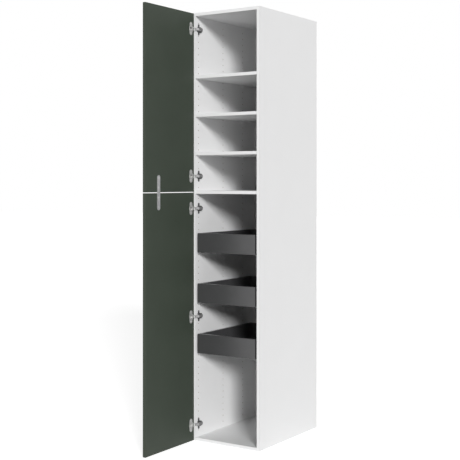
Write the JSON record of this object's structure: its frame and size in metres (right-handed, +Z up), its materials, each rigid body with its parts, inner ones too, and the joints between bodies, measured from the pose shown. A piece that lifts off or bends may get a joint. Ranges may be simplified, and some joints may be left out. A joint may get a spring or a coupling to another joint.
{
  "type": "tall kitchen cabinet",
  "caption": "Tall narrow kitchen cabinet with a white carcass, loose shelves, inner drawers and two linked hinged doors.",
  "frame": {"origin": "centre of the carcass's underside", "axes": "+Z up, the front faces -Y, +X to the right seen from the front"},
  "size_m": [0.4065, 0.9795, 2.176],
  "materials": {
    "white_melamine": "satin",
    "green_front": "matt",
    "anthracite": "matt",
    "anthracite_board": "matt",
    "nickel": "satin",
    "zinc": "satin",
    "white_plastic": "satin",
    "beech": "matt"
  },
  "bodies": {
    "carcass": {"left_side_panel": "white_melamine", "right_side_panel": "white_melamine", "bottom_panel": "white_melamine", "fixed_shelf": "white_melamine", "top_panel": "white_melamine", "back_panel": "white_melamine", "dowels": "beech", "shelf_pins": "white_plastic", "hinge_1_arm": "nickel", "hinge_1_plate": "nickel", "hinge_2_arm": "nickel", "hinge_2_plate": "nickel", "hinge_3_arm": "nickel", "hinge_3_plate": "nickel", "hinge_4_arm": "nickel", "hinge_4_plate": "nickel", "hinge_5_arm": "nickel", "hinge_5_plate": "nickel", "lower_drawer_cabinet_rails": "zinc", "middle_drawer_cabinet_rails": "zinc", "upper_drawer_cabinet_rails": "zinc"},
    "doors": {"lower_door": "green_front", "upper_door": "green_front", "door_link_plate": "zinc", "hinge_1_cup": "nickel", "hinge_2_cup": "nickel", "hinge_3_cup": "nickel", "hinge_4_cup": "nickel", "hinge_5_cup": "nickel"},
    "hinge_links": {"hinge_links": "nickel"},
    "lower_drawer": {"lower_drawer_front": "anthracite_board", "lower_drawer_left_side": "anthracite", "lower_drawer_right_side": "anthracite", "lower_drawer_back": "anthracite_board", "lower_drawer_base": "anthracite_board", "lower_drawer_white_plate": "white_plastic"},
    "lower_drawer_runner": {"lower_drawer_middle_rails": "zinc"},
    "middle_drawer": {"middle_drawer_front": "anthracite_board", "middle_drawer_left_side": "anthracite", "middle_drawer_right_side": "anthracite", "middle_drawer_back": "anthracite_board", "middle_drawer_base": "anthracite_board", "middle_drawer_white_plate": "white_plastic"},
    "middle_drawer_runner": {"middle_drawer_middle_rails": "zinc"},
    "upper_drawer": {"upper_drawer_front": "anthracite_board", "upper_drawer_left_side": "anthracite", "upper_drawer_right_side": "anthracite", "upper_drawer_back": "anthracite_board", "upper_drawer_base": "anthracite_board", "upper_drawer_white_plate": "white_plastic"},
    "upper_drawer_runner": {"upper_drawer_middle_rails": "zinc"},
    "lower_shelf": {"lower_shelf": "white_melamine"},
    "middle_shelf": {"middle_shelf": "white_melamine"},
    "upper_shelf": {"upper_shelf": "white_melamine"}
  },
  "joints": [
    {"name": "door_swing", "type": "hinge", "parent": "carcass", "child": "doors", "pos_m": [-0.195, -0.2965, 0], "axis": [0, 0, -1], "range_deg": [-90, 17]},
    {"name": "hinge_link_swing", "type": "hinge", "parent": "carcass", "child": "hinge_links", "pos_m": [-0.18, -0.293, 0], "axis": [0, 0, -1], "range_deg": [-99.5, 19]},
    {"name": "lower_drawer_slide", "type": "slide", "parent": "carcass", "child": "lower_drawer", "axis": [0, -1, 0], "range_m": [0, 0.45]},
    {"name": "lower_drawer_runner_slide", "type": "slide", "parent": "carcass", "child": "lower_drawer_runner", "axis": [0, -1, 0], "range_m": [0, 0.23]},
    {"name": "middle_drawer_slide", "type": "slide", "parent": "carcass", "child": "middle_drawer", "axis": [0, -1, 0], "range_m": [0, 0.45]},
    {"name": "middle_drawer_runner_slide", "type": "slide", "parent": "carcass", "child": "middle_drawer_runner", "axis": [0, -1, 0], "range_m": [0, 0.23]},
    {"name": "upper_drawer_slide", "type": "slide", "parent": "carcass", "child": "upper_drawer", "axis": [0, -1, 0], "range_m": [0, 0.45]},
    {"name": "upper_drawer_runner_slide", "type": "slide", "parent": "carcass", "child": "upper_drawer_runner", "axis": [0, -1, 0], "range_m": [0, 0.23]},
    {"name": "lower_shelf_pull", "type": "slide", "parent": "carcass", "child": "lower_shelf", "axis": [0, -1, 0], "range_m": [0, 0.25]},
    {"name": "middle_shelf_pull", "type": "slide", "parent": "carcass", "child": "middle_shelf", "axis": [0, -1, 0], "range_m": [0, 0.25]},
    {"name": "upper_shelf_pull", "type": "slide", "parent": "carcass", "child": "upper_shelf", "axis": [0, -1, 0], "range_m": [0, 0.25]}
  ],
  "couplings": [
    {"joint": "hinge_link_swing", "follows": "door_swing", "ratio": 1.1},
    {"joint": "lower_drawer_runner_slide", "follows": "lower_drawer_slide", "ratio": 0.5},
    {"joint": "middle_drawer_runner_slide", "follows": "middle_drawer_slide", "ratio": 0.5},
    {"joint": "upper_drawer_runner_slide", "follows": "upper_drawer_slide", "ratio": 0.5}
  ]
}
